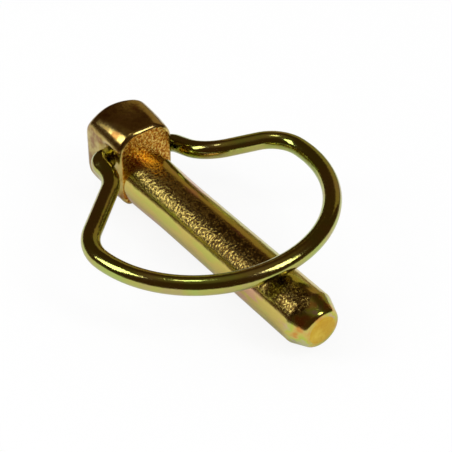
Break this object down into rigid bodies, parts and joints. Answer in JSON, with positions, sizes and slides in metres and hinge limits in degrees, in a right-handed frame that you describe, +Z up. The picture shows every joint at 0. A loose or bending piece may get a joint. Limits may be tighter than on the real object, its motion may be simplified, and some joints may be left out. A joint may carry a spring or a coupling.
{
  "type": "linch pin",
  "caption": "Forged linch pin with a rounded head and a lead-in cone, its captive snap ring of bent spring wire closed over the shank.",
  "frame": {"origin": "on the shank's axis, in the plane of the head's shoulder", "axes": "+X along the shank towards its tip, +Z up, the side of the closed ring and of the head's offset, +Y to the left looking along +X"},
  "size_m": [0.0688, 0.0532, 0.0188],
  "materials": {
    "plated_steel": "forged steel, zinc plated with a yellow chromate film, glossy, with a rough scaly strip along the top of the shank",
    "plated_wire": "drawn spring wire, zinc plated with a yellow chromate film, glossy"
  },
  "bodies": {
    "pin": {"forged_pin": "plated_steel"},
    "ring": {"snap_ring": "plated_wire"}
  },
  "joints": [
    {"name": "ring_swing", "type": "hinge", "parent": "pin", "child": "ring", "pos_m": [-0.0042, 0, 0.0047], "axis": [0, -0.9848, 0.1736], "range_deg": [0, 165]}
  ]
}
